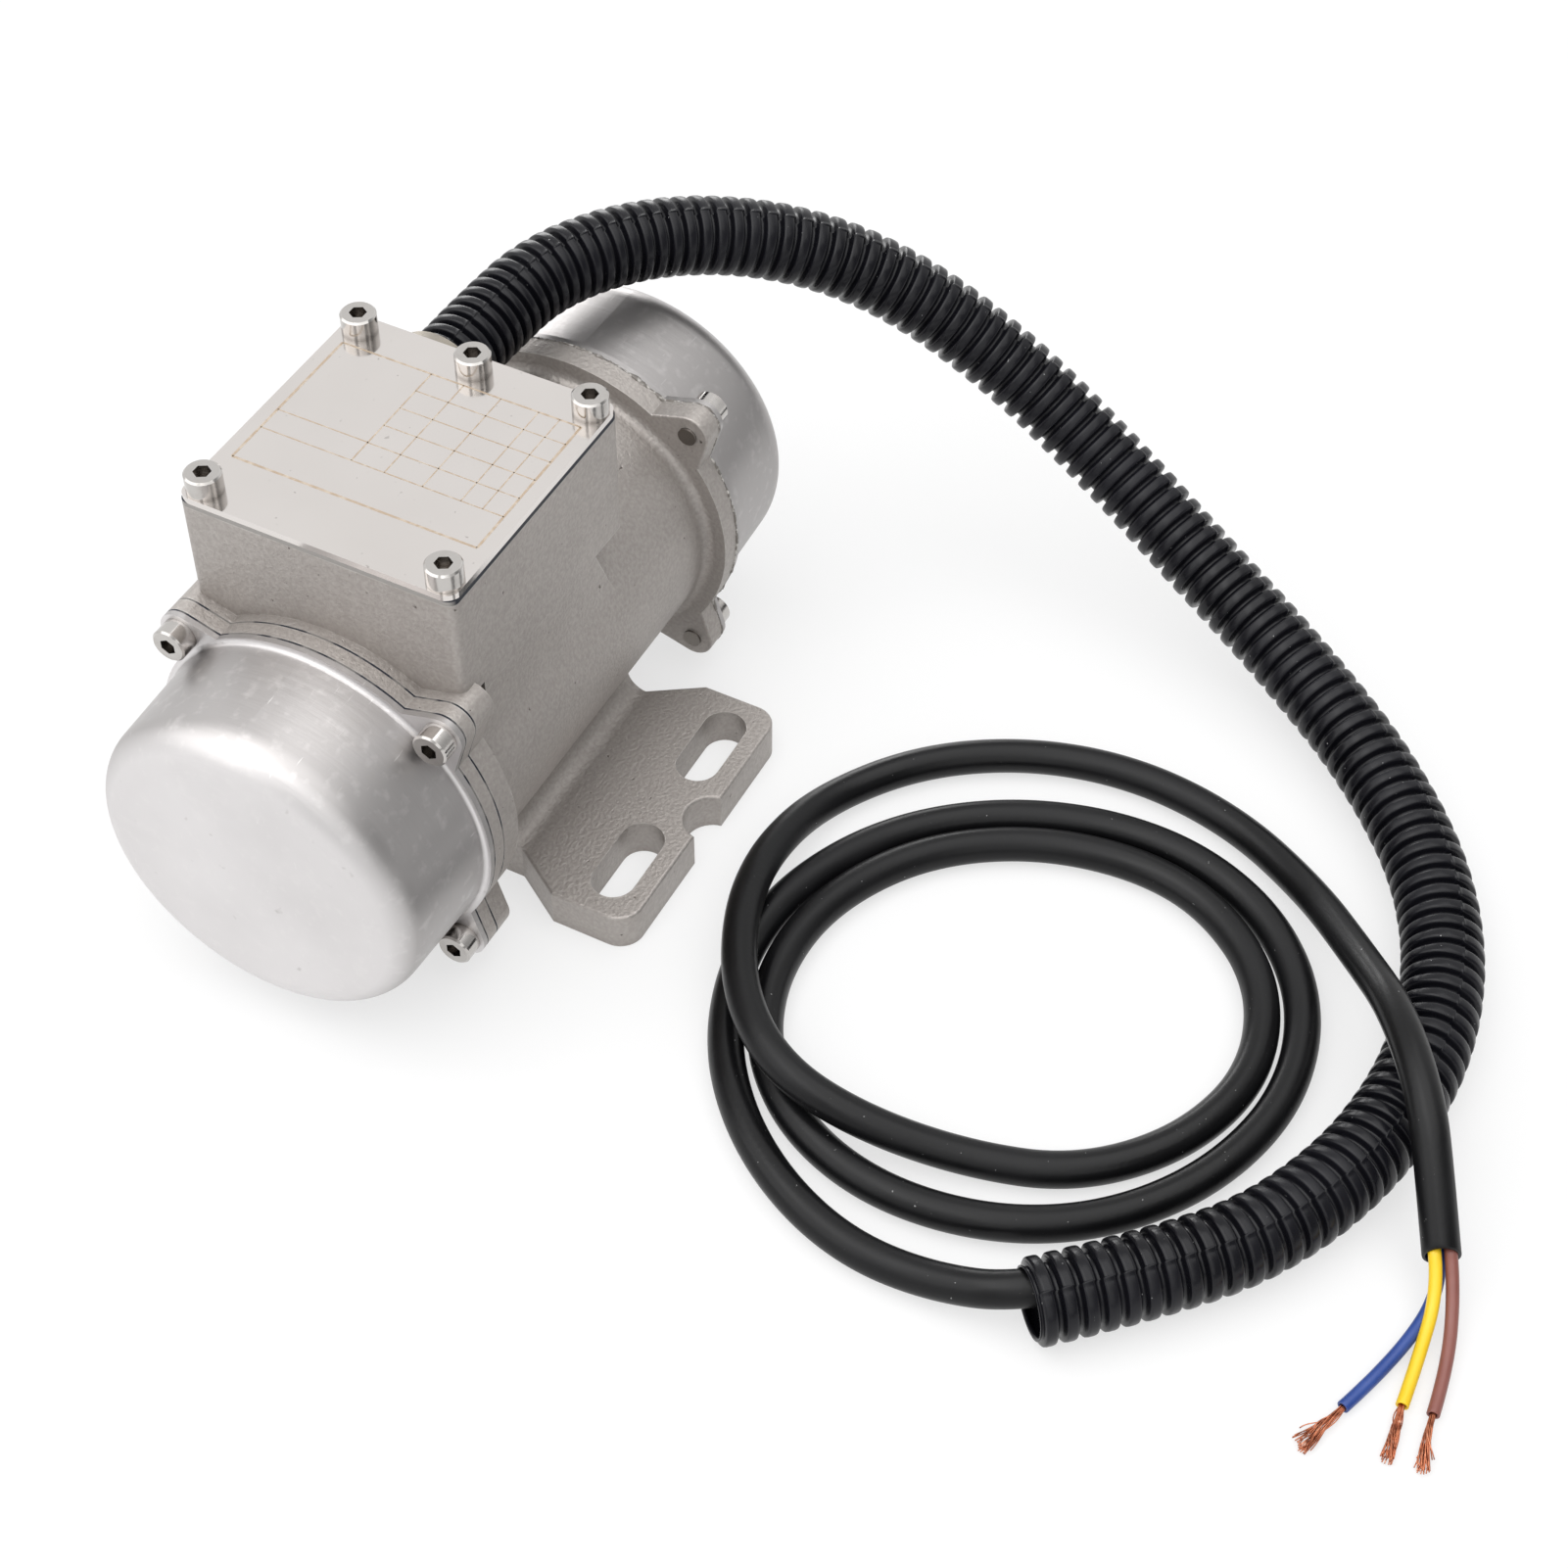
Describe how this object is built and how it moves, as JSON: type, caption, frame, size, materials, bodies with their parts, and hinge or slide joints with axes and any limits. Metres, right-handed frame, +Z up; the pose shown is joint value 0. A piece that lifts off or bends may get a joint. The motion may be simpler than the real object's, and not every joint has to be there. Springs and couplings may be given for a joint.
{
  "type": "vibration motor",
  "caption": "Cast stainless vibration motor with slotted foot, domed end covers over adjustable eccentric weights, terminal box, corrugated conduit and coiled supply cable.",
  "frame": {"origin": "on the mounting surface, below the middle of the motor's length and width", "axes": "+X along the shaft, towards the end whose wall is cast with the housing; +Y away from the coiled cable; +Z up through the terminal box"},
  "size_m": [0.1958, 0.2809, 0.0993],
  "materials": {
    "cast_stainless": "cast, bead-blasted satin",
    "drawn_stainless": "deep-drawn, satin",
    "polished_stainless": "polished sheet",
    "screw_steel": "bright stainless",
    "gasket_rubber": "matte",
    "bearing_steel": "ground",
    "shaft_steel": "turned",
    "lamination_steel": "stacked laminations",
    "cage_aluminium": "die-cast",
    "winding_enamel": "enamelled copper",
    "weight_steel": "plain steel",
    "conduit_plastic": "semi-gloss",
    "cable_pvc": "satin",
    "insulation_blue": "satin",
    "insulation_yellow": "satin",
    "insulation_brown": "satin",
    "bare_copper": "bright strands",
    "block_plastic": "moulded",
    "capacitor_plastic": "moulded",
    "fitting_brass": "nickel-plated"
  },
  "bodies": {
    "motor_body": {"housing": "cast_stainless", "end_shield": "cast_stainless", "shield_gasket": "gasket_rubber", "cover_near": "drawn_stainless", "cover_far": "drawn_stainless", "cover_gasket_near": "gasket_rubber", "cover_gasket_far": "gasket_rubber", "cover_screws_near": "screw_steel", "cover_screws_far": "screw_steel", "lid": "polished_stainless", "lid_gasket": "gasket_rubber", "lid_screws": "screw_steel", "stator_core": "lamination_steel", "stator_winding": "winding_enamel", "terminal_block": "block_plastic", "terminal_screws": "screw_steel", "capacitor": "capacitor_plastic", "capacitor_clip": "polished_stainless", "earth_screw": "fitting_brass", "winding_leads": "cable_pvc", "supply_leads": "cable_pvc", "hose_fitting": "fitting_brass", "hose_fitting_nut": "fitting_brass", "hose": "conduit_plastic", "cable": "cable_pvc", "core_blue": "insulation_blue", "core_yellow": "insulation_yellow", "core_brown": "insulation_brown", "copper_blue": "bare_copper", "copper_yellow": "bare_copper", "copper_brown": "bare_copper", "bearing_outer_ring_near": "bearing_steel", "bearing_outer_ring_far": "bearing_steel"},
    "rotor": {"shaft": "shaft_steel", "rotor_core": "lamination_steel", "rotor_cage": "cage_aluminium", "bearing_inner_ring_near": "bearing_steel", "fixed_weight_near": "weight_steel", "fixed_weight_screw_near": "screw_steel", "circlip_near": "shaft_steel", "bearing_inner_ring_far": "bearing_steel", "fixed_weight_far": "weight_steel", "fixed_weight_screw_far": "screw_steel", "circlip_far": "shaft_steel"},
    "ball_set_near": {"bearing_balls_near": "bearing_steel", "bearing_cage_near": "fitting_brass"},
    "ball_set_far": {"bearing_balls_far": "bearing_steel", "bearing_cage_far": "fitting_brass"},
    "swing_near": {"swing_weight_near": "weight_steel", "swing_weight_screw_near": "screw_steel"},
    "swing_far": {"swing_weight_far": "weight_steel", "swing_weight_screw_far": "screw_steel"}
  },
  "joints": [
    {"name": "rotor_spin", "type": "hinge", "parent": "motor_body", "child": "rotor", "pos_m": [0, 0, 0.039], "axis": [1, 0, 0], "continuous": true},
    {"name": "ball_spin_near", "type": "hinge", "parent": "motor_body", "child": "ball_set_near", "pos_m": [0, 0, 0.039], "axis": [1, 0, 0], "continuous": true},
    {"name": "ball_spin_far", "type": "hinge", "parent": "motor_body", "child": "ball_set_far", "pos_m": [0, 0, 0.039], "axis": [1, 0, 0], "continuous": true},
    {"name": "swing_set_near", "type": "hinge", "parent": "rotor", "child": "swing_near", "pos_m": [0, 0, 0.039], "axis": [1, 0, 0], "range_deg": [0, 180]},
    {"name": "swing_set_far", "type": "hinge", "parent": "rotor", "child": "swing_far", "pos_m": [0, 0, 0.039], "axis": [1, 0, 0], "range_deg": [0, 180]}
  ],
  "couplings": [
    {"joint": "ball_spin_near", "follows": "rotor_spin", "ratio": 0.3773},
    {"joint": "ball_spin_far", "follows": "rotor_spin", "ratio": 0.3773}
  ]
}
